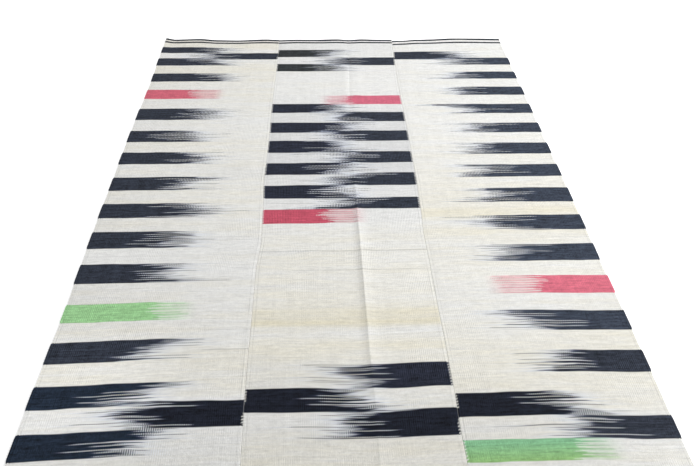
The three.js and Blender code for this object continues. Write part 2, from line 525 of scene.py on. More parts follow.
# %% Bars of the middle strip
BARS["strip_centre", "left"] = [
    Bar(1043, 973, "charcoal", (270, 245, 215, 195, 178)),
    Bar(903, 836, "charcoal", (232, 235, 275, 250, 252)),
    Bar(552, 486, "night", (245, 230, 245, 230, 215)),
    Bar(408, 339, "night", (300, 290, 262, 275, 250)),
    Bar(279, 202, "night", (225, 230, 240, 245, 245)),
    Bar(132, 63, "night", (272, 270, 250, 232, 215)),
    Bar(-4, -76, "night", (235, 235, 240, 275, 290)),
    Bar(-137, -208, "deep_pink", (228, 212, 210, 230, 248), 340),
    Bar(-861, -931, "ink", (228, 250, 240, 270, 320)),
]
BARS["strip_centre", "right"] = [
    Bar(965, 892, "navy", (250, 260, 275, 245, 230)),
    Bar(619, 550, "soft_pink", (215, 225, 235, 230, 225), 325),
    Bar(486, 418, "navy", (245, 230, 240, 245, 225)),
    Bar(348, 279, "navy", (265, 275, 250, 248, 238)),
    Bar(204, 134, "navy", (225, 245, 212, 245, 250)),
    Bar(69, -3, "navy", (165, 180, 265, 265, 255)),
    Bar(-75, -134, "navy", (218, 250, 222, 285, 330)),
    Bar(-786, -861, "night", (272, 275, 265, 190, 205)),
    Bar(-931, -1006, "ink", (235, 235, 260, 260, 285)),
]

# %% Bars of the right strip
BARS["strip_right", "left"] = [
    Bar(1024, 947, "navy", (225, 260, 290, 260, 200)),
    Bar(-898, -967, "ink", (245, 262, 265, 285, 315)),
    Bar(-1034, -1091, "sea_green", (300, 300, 295, 290, 290), 375, "leaf_green"),
]
BARS["strip_right", "right"] = [
    Bar(961, 896, "slate", (280, 250, 245, 240, 250)),
    Bar(826, 765, "slate", (245, 220, 220, 250, 295)),
    Bar(689, 623, "slate", (255, 280, 255, 235, 260)),
    Bar(545, 475, "slate", (400, 320, 225, 215, 295)),
    Bar(398, 331, "slate", (270, 220, 230, 255, 250)),
    Bar(256, 184, "slate", (240, 245, 245, 245, 310)),
    Bar(112, 40, "slate", (345, 250, 248, 290, 350)),
    Bar(-30, -107, "slate", (285, 235, 222, 268, 300)),
    Bar(-181, -254, "slate", (300, 280, 305, 265, 175)),
    Bar(-327, -402, "slate", (245, 265, 220, 310, 300)),
    Bar(-471, -543, "pink", (235, 211, 231, 238, 246), 362),
    Bar(-615, -688, "slate", (320, 290, 240, 235, 240)),
    Bar(-762, -833, "navy", (200, 200, 225, 238, 252)),
    Bar(-970, -1034, "navy", (200, 205, 245, 205, 160)),
]
print("bars:", sum(len(bars) for bars in BARS.values()))

# %% [markdown]
# Thin lines and uneven wool
#
# Now and then a single dark or grey pick runs on by itself. Two narrow dark lines close each end of the
# rug. Undyed wool isn't one colour either: each ball of yarn is a little warmer or cooler than the
# last, so the cream runs in faint bands. There are paler and darker places too, partly from wear and
# washing and partly painted light and shade, charted as soft patches with a middle and two half
# widths. All of it could be painted by hand on a picture, but a chart is shorter and stays sharp. It is
# written onto the mesh, where the material reads it.

# %% Thin lines
Thin = namedtuple("Thin", "along picks start end shade")
FAR_LINES = {"strip_left": 1120, "strip_centre": 1120, "strip_right": 1112}
END_LINES = [
    Thin(1147, 13, -50, 650, 1.0),
    Thin(-1124, 8, -50, 650, 1.0),
    Thin(-1149, 10, -50, 650, 1.0),
]
THIN_LINES = {
    "strip_left": [
        Thin(-976, 1, 240, 640, 0.95),
        Thin(-667, 1.5, 400, 640, 0.3),
        Thin(-737, 2.5, 410, 640, 0.22),
        Thin(-463, 1, 330, 500, 0.5),
        Thin(-107, 1, 340, 470, 0.3),
        Thin(-272, 2, 380, 560, 0.16),
        Thin(-286, 1, 300, 560, 0.2),
        Thin(178, 1, 300, 480, 0.3),
        Thin(773, 2, 320, 420, 0.3),
    ],
    "strip_centre": [
        Thin(-344, 2.5, -50, 640, 0.22),
        Thin(-430, 3, 100, 640, 0.14),
        Thin(-105, 2, 20, 220, 0.22),
        Thin(-819, 1, 90, 320, 0.6),
        Thin(-842, 1, 145, 330, 0.7),
        Thin(-984, 1, 150, 375, 1.0),
        Thin(-1008, 1, 205, 330, 0.7),
        Thin(-1028, 1.5, 480, 640, 0.2),
    ],
    "strip_right": [
        Thin(803, 2, 20, 230, 0.16),
        Thin(772, 2, 170, 300, 0.35),
        Thin(462, 2, 90, 250, 0.16),
        Thin(182, 1.5, 70, 260, 0.4),
        Thin(-46, 1, 140, 260, 0.4),
        Thin(-107, 1, 140, 250, 0.4),
        Thin(-662, 1, 130, 290, 0.35),
        Thin(-956, 1, 330, 500, 0.4),
        Thin(-998, 1, 60, 330, 0.45),
        Thin(-1008, 1, 120, 330, 0.5),
    ],
}

# %% Warmth of the undyed wool, from -1 for grey over 0 for cool cream to 1 for tan
Batch = namedtuple("Batch", "along warmth")


def batches(*pairs):
    return [Batch(*pair) for pair in pairs]


BATCHES = {
    "strip_left": batches(
        (-1155, 0.25), (-1040, 0.1), (-930, 0.0), (-790, 0.3), (-650, 0.15), (-500, 0.1),
        (-340, 0.0), (-200, 0.15), (-60, 0.25), (90, 0.1), (240, 0.25), (400, 0.05), (700, 0.2),
        (860, 0.4), (980, 0.0), (1095, 0.45), (1155, 0.2),
    ),
    "strip_centre": batches(
        (-1155, 0.3), (-1050, 0.35), (-960, 0.05), (-850, 0.25), (-760, 0.3), (-735, 0.6),
        (-700, 0.25), (-665, 0.2), (-640, 0.9), (-610, 0.75), (-560, 0.3), (-440, 0.25),
        (-260, 0.2), (-180, -0.1), (20, -0.3), (100, -0.55), (450, -0.45), (560, -0.1), (700, 0.0),
        (980, -0.1), (1080, -0.2), (1155, 0.1),
    ),
    "strip_right": batches(
        (-1155, 0.15), (-1060, 0.1), (-850, 0.4), (-720, 0.35), (-570, 0.1), (-440, 0.22),
        (-400, 0.25), (-330, 0.2), (-255, 0.5), (-215, 0.15), (-160, 0.75), (-120, 0.4), (20, 0.25),
        (150, 0.2), (300, 0.1), (1155, 0.05),
    ),
}

# %% Places paler or darker than the rest, partly from wear and washing and partly painted light and shade
WearAndPaintedLight = namedtuple("WearAndPaintedLight", "across along half_width half_length gain")
# Painted light and shade: some of these patches stand in for light and shade, the rest for wear and
# washing.
WEAR_AND_PAINTED_LIGHT = {
    "strip_left": [
        WearAndPaintedLight(40, -850, 330, 230, 0.19),
        WearAndPaintedLight(30, -370, 160, 120, 0.06),
        WearAndPaintedLight(470, 90, 160, 60, -0.04),
        WearAndPaintedLight(490, -1090, 330, 150, -0.06),
    ],
    "strip_centre": [
        WearAndPaintedLight(283, -1080, 700, 290, -0.085),
        WearAndPaintedLight(60, 1080, 200, 90, -0.03),
        WearAndPaintedLight(60, -810, 170, 90, -0.04),
        WearAndPaintedLight(283, -628, 700, 50, -0.045),
        WearAndPaintedLight(500, -450, 170, 170, 0.03),
    ],
    "strip_right": [
        WearAndPaintedLight(60, -1030, 420, 200, -0.09),
        WearAndPaintedLight(420, -450, 420, 110, 0.04),
        WearAndPaintedLight(60, 350, 200, 130, 0.02),
    ],
}


WEAR_AND_LIGHT_OUTER = 1.25


def wear_and_painted_light_of(strip, grid):
    """How much lighter each point is from wear and from painted light and shade, eased to nothing around
    each patch.
    """
    wear_and_painted_light = np.zeros(grid["x"].shape)
    for place in WEAR_AND_PAINTED_LIGHT[strip.name]:
        sideways = (grid["across"] - place.across) / place.half_width
        lengthways = (grid["nominal"] - place.along) / place.half_length
        away = np.sqrt(sideways**2 + lengthways**2)
        wear_and_painted_light += place.gain * ease(np.clip(WEAR_AND_LIGHT_OUTER - away, 0, 1))
    return wear_and_painted_light


# %% [markdown]
# Writing the chart onto the mesh
#
# A material can read numbers that a mesh carries. There are three kinds here. The UV map Weave says
# which warp thread and which pick a point lies on, so the weave follows the cloth. Numbers on points,
# such as how far the dye reaches, blend smoothly between rows. Numbers on faces, such as the first and
# last pick of the nearest bar, stay whole, and the material compares its own pick with them, so a bar's
# edge is as sharp as the weave. Faces cut along each bar would do it too, but they would be many, and a
# painted picture would blur up close.

# %% Count warps and picks
WARP_COUNT = 192
PICK_PITCH = 1.5
BEAD_OVERLAP = 3.3
BOW_START = -250.0
BOW_LENGTH = 500.0
BOW_WIDTH = 330.0
BOW_LEFT = 8.0
BOW_RIGHT = 9.0
SAG = 6.0
SAG_MIDDLE = 50.0
SAG_WIDTH = 220.0
WOBBLE_HEIGHT = 1.3
WOBBLE_LENGTH = 150.0
WOBBLE_STRETCH = 1.6


def warp_number(across):
    """Warp threads counted from the left side. The outer ones are bundled into thicker cords."""
    rim = CORD_WIDTH * CORD_COUNT
    pitch = (STRIP_WIDTH - 2 * rim) / WARP_COUNT
    inner = (np.clip(across, rim, STRIP_WIDTH - rim) - rim) / pitch
    low_cords = np.clip(across, 0, rim) / CORD_WIDTH
    high_cords = np.clip(across - (STRIP_WIDTH - rim), 0, rim) / CORD_WIDTH
    return low_cords + inner + high_cords


def weft_bow(strip, grid):
    """How far a pick runs off straight: the wefts rise a little inside the near corners of the rug."""
    near = ease(np.clip((BOW_START - grid["nominal"]) / BOW_LENGTH, 0, 1))
    along = grid["along"] * WOBBLE_STRETCH
    wobble = WOBBLE_HEIGHT * slow_waves(grid["x"], along, WOBBLE_LENGTH, strip.seed)
    if strip.name == "strip_left":
        return BOW_LEFT * near * ease(np.clip(grid["across"] / BOW_WIDTH, 0, 1)) + wobble
    if strip.name == "strip_right":
        from_right = STRIP_WIDTH - grid["across"]
        return BOW_RIGHT * near * ease(np.clip(from_right / BOW_WIDTH, 0, 1)) + wobble
    sag = ease(np.clip(1 - np.abs(grid["x"] - SAG_MIDDLE) / SAG_WIDTH, 0, 1))
    return -SAG * near * sag + wobble


def pick_number(along):
    return (along - NEAR_END) / PICK_PITCH


# %% Yarn colours
YARNS = {
    "ink": light_of(24, 28, 39),
    "navy": light_of(44, 49, 60),
    "night": light_of(35, 39, 52),
    "charcoal": light_of(45, 49, 51),
    "slate": light_of(53, 60, 73),
    "dusty_pink": light_of(196, 98, 114),
    "pink": light_of(201, 105, 122),
    "soft_pink": light_of(196, 101, 121),
    "deep_pink": light_of(183, 80, 98),
    "green": light_of(150, 197, 142),
    "sea_green": light_of(131, 184, 142),
    "leaf_green": light_of(143, 182, 113),
    "teal": light_of(28, 38, 52),
}


# %% Values for the bars that start from one side
def nearest_bar(bars, places):
    """For each row of the mesh, the bar whose middle is nearest."""
    middles = np.array([(bar.far + bar.near) / 2 for bar in bars])
    return np.abs(places[:, None] - middles[None, :]).argmin(axis=1)


REACH_LEVELS = np.array((0.07, 0.24, 0.5, 0.76, 0.93))


def reach_of(bars, places):
    """How far the dye reaches at each row, blended between the five levels of the nearest bar."""
    chosen = nearest_bar(bars, places)
    reach = np.empty(len(places))
    for number, bar in enumerate(bars):
        rows = chosen == number
        levels = bar.near + (bar.far - bar.near) * REACH_LEVELS
        reach[rows] = np.interp(places[rows], levels, bar.reach[::-1])
    return reach


def yarn_of(bars, places):
    """The yarn colour at each row. A bar with two yarns runs from one to the other."""
    colours = []
    for number, place in zip(nearest_bar(bars, places), places):
        bar = bars[number]
        far_colour = np.array(YARNS[bar.yarn])
        near_colour = np.array(YARNS[bar.near_yarn or bar.yarn])
        share = np.clip((bar.far - place) / (bar.far - bar.near), 0, 1)
        colours.append(far_colour + (near_colour - far_colour) * share)
    return np.array(colours)


# %% Write values on points and faces
def all_across(rows, shape):
    """The same value across each row of the sheet."""
    return np.broadcast_to(rows[:, None], shape)


def write_points(mesh, name, values):
    attribute = mesh.attributes.new(name, "FLOAT", "POINT")
    attribute.data.foreach_set("value", both_sides(values).astype(np.float32))


def write_point_colours(mesh, name, rows, shape):
    """Writes one colour for each row of points, alike on both sides of the sheet."""
    parts = [both_sides(all_across(part, shape)) for part in np.asarray(rows).T]
    attribute = mesh.attributes.new(name, "FLOAT_COLOR", "POINT")
    attribute.data.foreach_set("color", np.stack(parts, axis=1).astype(np.float32).ravel())


def write_faces(mesh, name, rows):
    """Writes one vector for each row of faces, alike on both sides of the sheet."""
    columns = len(mesh.polygons) // (2 * len(rows))
    values = np.repeat(np.asarray(rows, np.float32), columns, axis=0)
    attribute = mesh.attributes.new(name, "FLOAT_VECTOR", "FACE")
    attribute.data.foreach_set("vector", np.concatenate((values, values)).ravel())


# %% Where a bar ends at a seam
SEAM_MATES = {
    ("strip_left", "right"): ("strip_centre", "left"),
    ("strip_centre", "left"): ("strip_left", "right"),
    ("strip_centre", "right"): ("strip_right", "left"),
    ("strip_right", "left"): ("strip_centre", "right"),
}


def in_a_bar(strip_name, side, places):
    """True at each place along the rug where a bar starts from this side of the strip."""
    found = np.zeros(len(places), bool)
    for bar in BARS[strip_name, side]:
        found |= (places > bar.near) & (places < bar.far)
    return found


def teeth_at(strip, side, nominal):
    """For each row, one where this side is sewn to undyed wool. There cream teeth show in a bar's end."""
    mate = SEAM_MATES.get((strip.name, side))
    if mate is None:
        return np.zeros(len(nominal))
    return 1.0 - in_a_bar(*mate, nominal)


# %% Write the bars of one side and the thin lines
def write_side(mesh, strip, side, nominal, shape):
    """Everything that the material asks about the bars of one side."""
    bars = BARS[strip.name, side]
    middles = (nominal[:-1] + nominal[1:]) / 2
    chosen = [bars[number] for number in nearest_bar(bars, middles)]
    edges = [
        (pick_number(bar.near - BEAD_OVERLAP), pick_number(bar.far), bar.comb) for bar in chosen
    ]
    write_faces(mesh, f"{side}_bar", edges)
    write_point_colours(mesh, f"{side}_yarn", yarn_of(bars, nominal), shape)
    write_points(mesh, f"{side}_reach", all_across(reach_of(bars, nominal), shape))
    write_points(mesh, f"{side}_teeth", all_across(teeth_at(strip, side, nominal), shape))


def write_thin_lines(mesh, lines, nominal):
    middles = (nominal[:-1] + nominal[1:]) / 2
    places = np.array([line.along for line in lines])
    chosen = [lines[number] for number in np.abs(middles[:, None] - places).argmin(axis=1)]
    middle = [pick_number(line.along) for line in chosen]
    half = [line.picks / 2 for line in chosen]
    picks = [(m - h, m + h, line.shade) for m, h, line in zip(middle, half, chosen)]
    write_faces(mesh, "line_picks", picks)
    write_faces(mesh, "line_span", [(line.start, line.end, 0) for line in chosen])


# %% UV maps
BAKE_MARGIN = 0.004
BAKE_LAYOUTS = ((3, 0.0, 0.25), (2, 0.75, 0.125))


def write_corner_map(mesh, name, values):
    layer = mesh.uv_layers.new(name=name)
    layer.uv.foreach_set("vector", np.asarray(values, np.float32).ravel())


def corner_points(mesh):
    numbers = np.empty(len(mesh.loops), np.int32)
    mesh.loops.foreach_get("vertex_index", numbers)
    return numbers


def write_weave_map(mesh, strip, grid):
    warps = warp_number(grid["across"])
    picks = pick_number(grid["nominal"] - weft_bow(strip, grid))
    points = np.stack((both_sides(warps), both_sides(picks)), axis=1)
    write_corner_map(mesh, "Weave", points[corner_points(mesh)])


def write_bake_map(mesh, grid):
    """A flat layout for textures: the top in three lengths side by side, the underside in two."""
    rows, columns = grid["x"].shape[0] - 1, grid["x"].shape[1] - 1
    row = np.repeat(np.arange(rows), columns)
    across = both_sides(grid["across"])[corner_points(mesh)].reshape(-1, 4) / STRIP_WIDTH
    along = both_sides(grid["nominal"])[corner_points(mesh)].reshape(-1, 4)
    margin = BAKE_MARGIN
    for half, (parts, start, width) in enumerate(BAKE_LAYOUTS):
        faces = slice(half * rows * columns, (half + 1) * rows * columns)
        breaks = np.linspace(0, rows, parts + 1).astype(int)
        part = np.searchsorted(breaks, row, side="right") - 1
        nominal = grid["nominal"][:, 0]
        low, high = nominal[breaks[part]][:, None], nominal[breaks[part + 1]][:, None]
        u = start + width * (part[:, None] + margin + (1 - 2 * margin) * across[faces])
        across[faces] = u
        along[faces] = margin + (1 - 2 * margin) * (along[faces] - low) / (high - low)
    write_corner_map(mesh, "OFBake", np.stack((across, along), axis=-1))


# %% [markdown]
# Small helpers for nodes
#
# Nodes are usually dragged with the mouse. In a script they read better if a helper makes one node,
# sets it up and feeds its sockets from numbers or from other nodes. The class Value below wraps the
# output of a node, so that a sum or a product of two outputs adds the Math node for it, and a formula
# looks like a formula. A node group gets its named inputs and outputs through its interface.

# %% One node, and its outputs as values in a formula
class Value:
    """A node's output in a formula. Each sum, product or comparison adds one Math node to its tree."""

    def __init__(self, tree, socket):
        self.tree = tree
        self.socket = socket

    def math(self, operation, *others):
        return calc(self.tree, operation, self, *others)

    def __rsub__(self, number):
        return calc(self.tree, "SUBTRACT", number, self)

    __add__ = partialmethod(math, "ADD")
    __sub__ = partialmethod(math, "SUBTRACT")
    __mul__ = partialmethod(math, "MULTIPLY")
    __truediv__ = partialmethod(math, "DIVIDE")
    __mod__ = partialmethod(math, "FLOORED_MODULO")
    __pow__ = partialmethod(math, "POWER")
    __gt__ = partialmethod(math, "GREATER_THAN")
    __lt__ = partialmethod(math, "LESS_THAN")
    __abs__ = partialmethod(math, "ABSOLUTE")
    at_least = partialmethod(math, "MAXIMUM")
    at_most = partialmethod(math, "MINIMUM")
    floor = partialmethod(math, "FLOOR")
    fract = partialmethod(math, "FRACT")
    sine = partialmethod(math, "SINE")
    root = partialmethod(math, "SQRT")


def feed(tree, sockets, given):
    """Links each named socket to another node's output, or sets it to a plain value."""
    for name, value in given.items():
        source = value.socket if isinstance(value, Value) else value
        if isinstance(source, bpy.types.NodeSocket):
            tree.links.new(source, sockets[name])
        else:
            sockets[name].default_value = source


def add_node(tree, kind, inputs, **settings):
    """Adds a node, sets it up and feeds its inputs, which are told by name or by number."""
    node = tree.nodes.new(kind)
    for name, setting in settings.items():
        setattr(node, name, setting)
    feed(tree, node.inputs, inputs)
    return node


def calc(tree, operation, *given):
    node = add_node(tree, "ShaderNodeMath", dict(enumerate(given)), operation=operation)
    return Value(tree, node.outputs[0])


# %% Helpers for values and colours
def centred(value):
    """Stretches 0 to 1 over -1 to 1."""
    return value.math("MULTIPLY_ADD", 2.0, -1.0)


def remap(value, low, high, to_low=0.0, to_high=1.0, smooth=True):
    """Moves a value from one range to another, eased at both ends, and stops at its ends."""
    ranges = {"From Min": low, "From Max": high, "To Min": to_low, "To Max": to_high}
    kind = "SMOOTHSTEP" if smooth else "LINEAR"
    inputs = {"Value": value, **ranges}
    node = add_node(value.tree, "ShaderNodeMapRange", inputs, interpolation_type=kind)
    return Value(value.tree, node.outputs["Result"])


def blend(tree, share, first, second, way="MIX"):
    """Mixes two colours. The node keeps the share between 0 and 1, and 6 and 7 are its colour sockets."""
    inputs = {0: share, 6: first, 7: second}
    node = add_node(tree, "ShaderNodeMix", inputs, data_type="RGBA", blend_type=way)
    return Value(tree, node.outputs[2])


def darken(tree, colour, level):
    return blend(tree, 1.0, colour, join(tree, level, level, level), "MULTIPLY")


def read(tree, name, output="Fac"):
    """What the mesh carries under this name."""
    node = add_node(tree, "ShaderNodeAttribute", {}, attribute_name=name)
    return Value(tree, node.outputs[output])


def split(vector):
    node = add_node(vector.tree, "ShaderNodeSeparateXYZ", {0: vector})
    return [Value(vector.tree, output) for output in node.outputs]


def join(tree, x, y, z=0.0):
    node = add_node(tree, "ShaderNodeCombineXYZ", {0: x, 1: y, 2: z})
    return Value(tree, node.outputs[0])


def bump(height, distance):
    node = add_node(height.tree, "ShaderNodeBump", {"Height": height, "Distance": distance})
    return Value(height.tree, node.outputs["Normal"])


# %% Helpers for noise
def white_noise(number):
    """One random value from 0 to 1 for each number."""
    node = add_node(number.tree, "ShaderNodeTexWhiteNoise", {"W": number}, noise_dimensions="1D")
    return Value(number.tree, node.outputs["Value"])


def cloud_noise(vector, scale=1.0, detail=2.0):
    inputs = {"Vector": vector, "Scale": scale, "Detail": detail}
    node = add_node(vector.tree, "ShaderNodeTexNoise", inputs, noise_dimensions="2D")
    return Value(vector.tree, node.outputs["Fac"])


def stretched(pick, warp, pick_scale, warp_scale, detail=2.0):
    """Noise between -1 and 1 that is drawn out along the picks or along the warps."""
    place = join(pick.tree, warp * warp_scale, pick * pick_scale)
    return centred(cloud_noise(place, detail=detail))


# %% Helpers for node groups
def new_group(name, inputs, outputs, kind="ShaderNodeTree"):
    """An empty node group. inputs and outputs are dictionaries of a name and a kind."""
    tree = bpy.data.node_groups.new(name, kind)
    for direction, sockets in (("INPUT", inputs), ("OUTPUT", outputs)):
        for label, what in sockets.items():
            tree.interface.new_socket(label, in_out=direction, socket_type=f"NodeSocket{what}")
    given = tree.nodes.new("NodeGroupInput").outputs
    made = tree.nodes.new("NodeGroupOutput").inputs
    return tree, {label: Value(tree, given[label]) for label in inputs}, made


def place_group(tree, group, **given):
    """Puts a group into a material and feeds its named inputs."""
    node = add_node(tree, "ShaderNodeGroup", {}, node_tree=group)
    feed(tree, node.inputs, given)
    return {output.name: Value(tree, output) for output in node.outputs}


# %% [markdown]
# The weave
#
# In a weft-faced weave only the weft shows. A pick passes over every second warp as a small bead, and
# the next pick passes over the others, so the beads are laid like bricks. This group turns the Weave
# map into the number of the pick that shows at a point and the height of its bead. It could be drawn
# with a brick texture, but the number of the pick is what the dye needs, so it is worked out directly.

# %% Weave group
BEAD_SIDE_POWER = 2.4
BEAD_END_POWER = 3.0


def make_weave_group():
    outputs = dict.fromkeys(("Pick", "Warp", "Bead"), "Float")
    tree, given, made = new_group("flat_weave", {"Weave": "Vector"}, outputs)
    u, v, _ = split(given["Weave"])
    warp = u.floor()
    parity = warp % 2.0
    place = (v - parity) / 2.0
    pick = place.floor() * 2.0 + parity
    side_fall = 1.0 - abs(centred(u.fract())) ** BEAD_SIDE_POWER
    end_fall = 1.0 - abs(centred(place.fract())) ** BEAD_END_POWER
    feed(tree, made, {"Pick": pick, "Warp": warp, "Bead": (side_fall * end_fall).root()})
    return tree


WEAVE_GROUP = make_weave_group()
print("group:", WEAVE_GROUP.name, "nodes:", len(WEAVE_GROUP.nodes))

# %% [markdown]
# Hand-spun yarn
#
# Hand-spun wool is thicker and thinner along its length and takes light unevenly, so every bead of the
# weave is a little lighter or darker than its neighbours. This group gives one such level for a bead,
# made of a value for the bead, a value for its pick, long streaks along the pick and ribs along the
# warp. A photo of wool would repeat and blur, and noise that is counted by the bead doesn't. The wool,
# the dyed yarns and the sewing thread all use this group, each in its own strength.

# %% Yarn group
BEADS_IN_A_PICK = 307.0
UNEVEN_SHARES = {
    "bead": 0.42,
    "pick": 0.25,
    "streak": 1.1,
    "patch": 0.8,
    "rib": 0.3,
    "odd_rib": 0.8,
}


def make_yarn_group():
    inputs = dict.fromkeys(("Pick", "Warp", "Unevenness"), "Float")
    tree, given, made = new_group("hand_spun_yarn", inputs, {"Level": "Float"})
    pick, warp = given["Pick"], given["Warp"]
    parts = {
        "bead": centred(white_noise(pick * BEADS_IN_A_PICK + warp)),
        "pick": centred(white_noise(pick + 0.5)),
        "streak": stretched(pick, warp, 0.45, 0.035, 3.0),
        "patch": stretched(pick, warp + 77.0, 0.22, 0.09),
        "rib": stretched(pick, warp, 0.004, 0.4, 1.0),
        "odd_rib": centred(warp % 2.0) * stretched(pick, warp, 0.01, 0.02, 0.0),
    }
    uneven = parts["bead"] * UNEVEN_SHARES["bead"]
    for name in ("pick", "streak", "patch", "rib", "odd_rib"):
        uneven = parts[name] * UNEVEN_SHARES[name] + uneven
    feed(tree, made, {"Level": uneven * given["Unevenness"] + 1.0})
    return tree


YARN_GROUP = make_yarn_group()
print("group:", YARN_GROUP.name, "nodes:", len(YARN_GROUP.nodes))

# %% [markdown]
# The dyed yarn
#
# The yarn was tied off and dyed before weaving, so on each pick the colour ends at its own place. The
# charted reach is the mean, and to it come several kinds of chance: locks of picks that run out
# together, streaks that break up on their way, and every few picks one that runs far out, or a pale one
# that lets a dotted line of light into the dark. Where only every second pick is dark, one warp shows
# dark beads and the next one light beads, which gives the fine upright dashes. Past its end the dye has
# crept a little further along the yarn and goes through violet to a pale tint. Each stroke could be
# painted, but there are thousands of picks, and chance with a fixed seed gives all of them their own.

# %% Where the dye of a navy bar ends on each pick
DYE_CREEP = 37.0
LOCK_SPREAD = 4.0
STREAK_SPREAD = 11.0
SINGLE_SPREAD = 34.0
LONG_EVERY = 7.0
LONG_RUN = (25.0, 120.0)
PALE_EVERY = 6.0
PALE_RUN = (-30.0, -150.0)
TURN_SPREAD = 46.0
RUN_SLIP = 4.0


def now_and_then(number, every, run):
    """Zero for most picks. For about one in so many it is a length between the two given ones."""
    slip = cloud_noise(join(number.tree, number, 3.1), scale=0.11) * RUN_SLIP
    turn = (number + slip.floor()) % every
    return (turn < 1.0) * remap(white_noise(number), 0.0, 1.0, *run, smooth=False)


def brushed_end(pick, seeded, distance, reach):
    """The charted reach and all the chances that come to it. A small number of its own seeds each."""
    lock = centred(cloud_noise(join(pick.tree, seeded, 0.0), scale=0.16)) * (LOCK_SPREAD * 2)
    streak = stretched(seeded, distance, 0.8, 0.012) * (STREAK_SPREAD * 2)
    single = centred(white_noise(seeded + 0.37)) * SINGLE_SPREAD
    long_run = now_and_then(seeded + 0.61, LONG_EVERY, LONG_RUN)
    pale_run = now_and_then(seeded + 0.83, PALE_EVERY, PALE_RUN)
    mood = centred(cloud_noise(join(pick.tree, 7.3, seeded), scale=0.09, detail=1.0))
    every_second = centred(pick % 2.0) * mood * (TURN_SPREAD * 2)
    return reach + DYE_CREEP + lock + streak + single + long_run + pale_run + every_second


# %% Where it ends in a pink or green bar
COMB_PERIOD = 7.0
COMB_SLIP = 6.0
COMB_SHARE = 0.48
COMB_JITTER = 20.0


def combed_end(seeded, reach, comb_tip):
    """A few long picks and a few short ones take turns."""
    slip = cloud_noise(join(seeded.tree, seeded, 0.0), scale=0.16) * COMB_SLIP
    tooth = ((seeded + slip) / COMB_PERIOD).fract()
    jitter = centred(white_noise(seeded + 0.29)) * COMB_JITTER
    return reach + (tooth < COMB_SHARE) * (comb_tip - reach) + jitter


# %% Dye group
DYE_FADE = 50.0
TINT_RANGE = (-110.0, 10.0)
COMB_FADE = 12.0
COMB_PALENESS = 0.38
COMB_PALES_OVER = 60.0
COMB_HAZE = 0.25
COMB_HAZE_RANGE = (-20.0, 50.0)


def make_dye_group():
    inputs = {"Pick": "Float", "Distance": "Float", "Reach": "Float", "Bar": "Vector", "Seed": "Float"}
    outputs = dict.fromkeys(("Dye", "Comb", "Tint"), "Float")
    tree, given, made = new_group("dyed_weft", inputs, outputs)
    pick, distance, reach = given["Pick"], given["Distance"], given["Reach"]
    near, far, comb_tip = split(given["Bar"])
    inside = (pick > near) * (pick < far)
    seeded = pick + given["Seed"]
    comb = comb_tip > 1.0

    brushed = brushed_end(pick, seeded, distance, reach) - distance
    brushed_dye = remap(brushed / DYE_FADE, -0.5, 0.5)
    combed = combed_end(seeded, reach, comb_tip) - distance
    combed_dye = remap(combed / COMB_FADE, -0.5, 0.5)
    paleness = remap(distance - reach, 0.0, COMB_PALES_OVER, 1.0, 1 - COMB_PALENESS)
    haze = remap(distance - comb_tip, *COMB_HAZE_RANGE, COMB_HAZE, 0.0)
    combed_dye = (combed_dye * paleness).at_least(haze)

    dye = (combed_dye - brushed_dye) * comb + brushed_dye
    tint = remap(brushed, *TINT_RANGE) * (inside - comb).at_least(0.0)
    feed(tree, made, {"Dye": dye * inside, "Comb": comb, "Tint": tint})
    return tree


DYE_GROUP = make_dye_group()
print("group:", DYE_GROUP.name, "nodes:", len(DYE_GROUP.nodes))

# %% [markdown]
# The undyed wool
#
# Cream wool straight from the sheep runs from cool to warm. The charted warmth moves the colour towards
# tan, slow bands and streaks along the picks carry some of it too, and a few picks are greyer. Plain
# cloudy noise would be simpler, but it looks like plaster, so all of it is drawn out along the picks.

# %% Wool group
COOL_CREAM = light_of(218, 218, 216)
WARM_CREAM = light_of(217, 211, 190)
GREY_CREAM = light_of(190, 191, 193)
BAND_WARMTH = 0.35
STREAK_WARMTH = 0.25
GREYEST_STREAK = 0.6


def make_wool_group():
    inputs = dict.fromkeys(("Pick", "Warp", "Warmth"), "Float")
    tree, given, made = new_group("undyed_wool", inputs, {"Color": "Color"})
    pick, warp, batch = given["Pick"], given["Warp"], given["Warmth"]
    warmth = stretched(pick, warp, 0.05, 0.008, 3.0) * BAND_WARMTH + batch
    warmth = stretched(pick, warp, 0.4, 0.03) * STREAK_WARMTH + warmth
    colour = blend(tree, warmth.at_least(0.0), COOL_CREAM, WARM_CREAM)
    grey_streak = stretched(pick + 91.0, warp, 0.7, 0.02)
    grey = remap(grey_streak, 0.25, 0.8, 0.0, GREYEST_STREAK).at_least(batch * -1.0)
    feed(tree, made, {"Color": blend(tree, grey, colour, GREY_CREAM)})
    return tree


WOOL_GROUP = make_wool_group()
print("group:", WOOL_GROUP.name, "nodes:", len(WOOL_GROUP.nodes))

# %% [markdown]
# One material for each strip
#
# The three strips share the groups and differ in their seeds. The dye of the left and right bars is
# laid over the wool, the thin lines over that, and painted shade darkens the whole a little between the
# beads, with a faint painted highlight on their crests.
# Where the end of a bar is sewn to undyed wool, small cream teeth of the sewn-over rim show in it. Wool
# is rough and has a soft sheen at low angles from its many fibres, so the shader's own sheen does that.
# The beads and some fuzz go to the normal as bump, because at two millimetres they are too small to be
# worth faces.

# %% Lay the dye of one side over a colour
PALE_TINT = light_of(190, 200, 218)
VIOLET_TINT = light_of(84, 87, 112)
TINT_STRENGTH = 0.5
COMB_CALM = -0.65
TOOTH_PICKS = 6.0
TOOTH_START = 3.5
TOOTH_DEPTH = 5.2


def beyond_teeth(pick, distance, side):
    """Zero in the small cream teeth at the seam end of a bar, and one past them."""
    tooth = (pick % TOOTH_PICKS > TOOTH_START) * TOOTH_DEPTH
    return remap(distance - tooth * read(pick.tree, f"{side}_teeth"), -0.3, 0.5)


